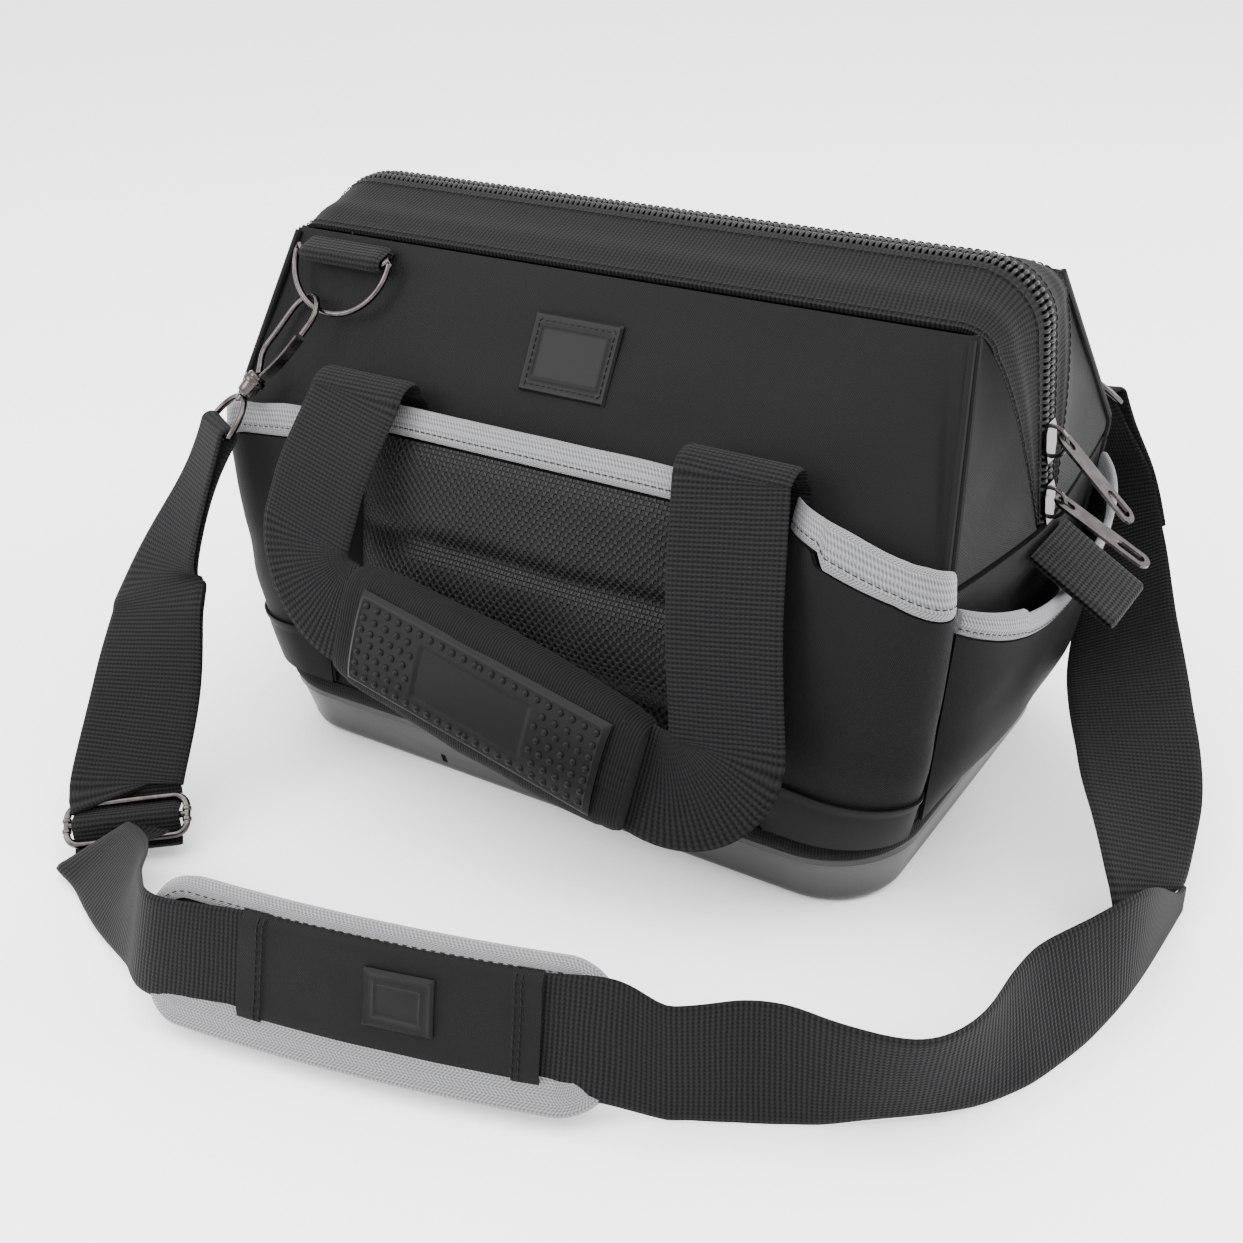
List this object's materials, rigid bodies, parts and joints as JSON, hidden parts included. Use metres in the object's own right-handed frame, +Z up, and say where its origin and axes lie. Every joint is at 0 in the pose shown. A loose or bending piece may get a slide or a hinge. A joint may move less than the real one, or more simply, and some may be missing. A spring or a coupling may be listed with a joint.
{
  "type": "tool bag",
  "caption": "Gate-mouth tool bag with a moulded hard base, outer pockets, two carry handles and a padded shoulder strap on swivel snap hooks.",
  "frame": {"origin": "middle of the flat underside of the moulded base", "axes": "+Z up, +X toward the end with the zip sliders, -Y toward the front with the mesh pocket and the padded grip"},
  "size_m": [0.4857, 0.4158, 0.247],
  "materials": {
    "base_plastic": "satin moulded plastic",
    "body_cloth": "plain weave polyester cloth",
    "webbing": "ribbed polyester webbing",
    "binding": "herringbone binding tape",
    "mesh_cloth": "open air mesh over foam",
    "zip_coil": "nylon coil on woven tape",
    "rubber_pad": "moulded, satin",
    "black_nickel": "black nickel plate, polished",
    "frame_steel": "drawn wire",
    "board": "plain sheet"
  },
  "bodies": {
    "bag": {"base_tray": "base_plastic", "base_board": "board", "base_seam_tape": "webbing", "front_wall": "body_cloth", "back_wall": "body_cloth", "right_end_wall": "body_cloth", "left_end_wall": "body_cloth", "front_upper_wall": "body_cloth", "back_upper_wall": "body_cloth", "front_centre_pocket": "mesh_cloth", "front_centre_pocket_binding": "binding", "back_centre_pocket": "body_cloth", "back_centre_pocket_binding": "binding", "front_left_pocket": "body_cloth", "front_left_pocket_binding": "binding", "front_right_pocket": "body_cloth", "front_right_pocket_binding": "binding", "right_end_pocket": "body_cloth", "right_end_pocket_binding": "binding", "left_end_pocket": "body_cloth", "left_end_pocket_binding": "binding", "right_zip_tab": "webbing", "left_zip_tab": "webbing", "front_left_anchor": "webbing", "front_right_anchor": "webbing", "back_left_anchor": "webbing", "back_right_anchor": "webbing", "left_strap_run": "webbing", "right_strap_run": "webbing", "strap_adjuster": "black_nickel", "floor_strap": "webbing"},
    "mouth_front": {"front_band": "webbing", "front_mouth_frame": "frame_steel", "front_zip_chain": "zip_coil", "left_ring_tab": "webbing"},
    "mouth_back": {"back_band": "webbing", "back_mouth_frame": "frame_steel", "back_zip_chain": "zip_coil", "right_ring_tab": "webbing"},
    "ring_left": {"left_d_ring": "black_nickel"},
    "ring_right": {"right_d_ring": "black_nickel"},
    "hook_left": {"left_snap_hook": "black_nickel"},
    "hook_right": {"right_snap_hook": "black_nickel"},
    "gate_left": {"left_hook_gate": "black_nickel"},
    "gate_right": {"right_hook_gate": "black_nickel"},
    "swivel_left": {"left_hook_swivel": "black_nickel"},
    "swivel_right": {"right_hook_swivel": "black_nickel"},
    "handle_front": {"front_handle_left_leg": "webbing", "front_handle_right_leg": "webbing", "front_handle_grip": "webbing", "front_grip_pad": "rubber_pad"},
    "handle_back": {"back_handle_webbing": "webbing"},
    "slider_upper": {"upper_slider": "black_nickel"},
    "slider_lower": {"lower_slider": "black_nickel"},
    "pull_upper": {"upper_pull": "black_nickel"},
    "pull_lower": {"lower_pull": "black_nickel"},
    "strap_pad": {"shoulder_pad": "body_cloth", "pad_binding": "binding", "pad_sleeve": "body_cloth"}
  },
  "joints": [
    {"name": "front_mouth_hinge", "type": "hinge", "parent": "bag", "child": "mouth_front", "pos_m": [0, 0, 0.143], "axis": [1, 0, 0], "range_deg": [0, 15], "deforming": ["front_upper_wall", "left_strap_run"]},
    {"name": "left_ring_hinge", "type": "hinge", "parent": "mouth_front", "child": "ring_left", "pos_m": [-0.129, -0.05762, 0.22518], "axis": [1, 0, 0], "range_deg": [-22.55, 0]},
    {"name": "left_hook_travel", "type": "slide", "parent": "bag", "child": "hook_left", "axis": [0.0509, -0.8411, -0.5385], "range_m": [0, 0.02374]},
    {"name": "left_gate_hinge", "type": "hinge", "parent": "hook_left", "child": "gate_left", "pos_m": [-0.14998, -0.09562, 0.17766], "axis": [-0.3275, -0.6333, 0.7012], "range_deg": [0, 20], "stiffness_Nm_per_rad": 0.05},
    {"name": "left_swivel_turn", "type": "hinge", "parent": "hook_left", "child": "swivel_left", "pos_m": [-0.15902, -0.09942, 0.17001], "axis": [-0.3611, -0.6019, -0.7122], "range_deg": [-35, 20]},
    {"name": "front_handle_hinge", "type": "hinge", "parent": "bag", "child": "handle_front", "pos_m": [0, -0.0895, 0.181], "axis": [1, 0, 0], "range_deg": [-155, 0]},
    {"name": "back_mouth_hinge", "type": "hinge", "parent": "bag", "child": "mouth_back", "pos_m": [0, 0, 0.143], "axis": [-1, 0, 0], "range_deg": [0, 15], "deforming": ["back_upper_wall", "right_strap_run"]},
    {"name": "right_ring_hinge", "type": "hinge", "parent": "mouth_back", "child": "ring_right", "pos_m": [0.129, 0.05762, 0.22518], "axis": [-1, 0, 0], "range_deg": [-22.55, 0]},
    {"name": "right_hook_travel", "type": "slide", "parent": "bag", "child": "hook_right", "axis": [-0.0509, 0.8411, -0.5385], "range_m": [0, 0.02374]},
    {"name": "right_gate_hinge", "type": "hinge", "parent": "hook_right", "child": "gate_right", "pos_m": [0.14998, 0.09562, 0.17766], "axis": [0.3275, 0.6333, 0.7012], "range_deg": [0, 20], "stiffness_Nm_per_rad": 0.05},
    {"name": "right_swivel_turn", "type": "hinge", "parent": "hook_right", "child": "swivel_right", "pos_m": [0.15902, 0.09942, 0.17001], "axis": [0.3611, 0.6019, -0.7122], "range_deg": [-35, 20]},
    {"name": "back_handle_hinge", "type": "hinge", "parent": "bag", "child": "handle_back", "pos_m": [0, 0.0895, 0.181], "axis": [-1, 0, 0], "range_deg": [-165, 0]},
    {"name": "upper_slider_travel", "type": "slide", "parent": "bag", "child": "slider_upper", "axis": [-0.0767, 0, 0.9971], "range_m": [0, 0.03]},
    {"name": "upper_pull_hinge", "type": "hinge", "parent": "slider_upper", "child": "pull_upper", "pos_m": [0.18773, 0, 0.17865], "axis": [0, 1, 0], "range_deg": [-75, 0]},
    {"name": "lower_slider_travel", "type": "slide", "parent": "bag", "child": "slider_lower", "axis": [-0.0767, 0, 0.9971], "range_m": [0, 0.006]},
    {"name": "lower_pull_hinge", "type": "hinge", "parent": "slider_lower", "child": "pull_lower", "pos_m": [0.18973, 0, 0.15265], "axis": [0, 1, 0], "range_deg": [-14, 0]},
    {"name": "pad_slide", "type": "slide", "parent": "bag", "child": "strap_pad", "axis": [0.973, 0.231, 0], "range_m": [-0.0015, 0]}
  ],
  "couplings": [
    {"joint": "left_ring_hinge", "follows": "front_mouth_hinge", "ratio": -1.5},
    {"joint": "left_hook_travel", "follows": "front_mouth_hinge", "m_per_rad": 0.089904},
    {"joint": "right_ring_hinge", "follows": "back_mouth_hinge", "ratio": -1.5},
    {"joint": "right_hook_travel", "follows": "back_mouth_hinge", "m_per_rad": 0.089904}
  ]
}
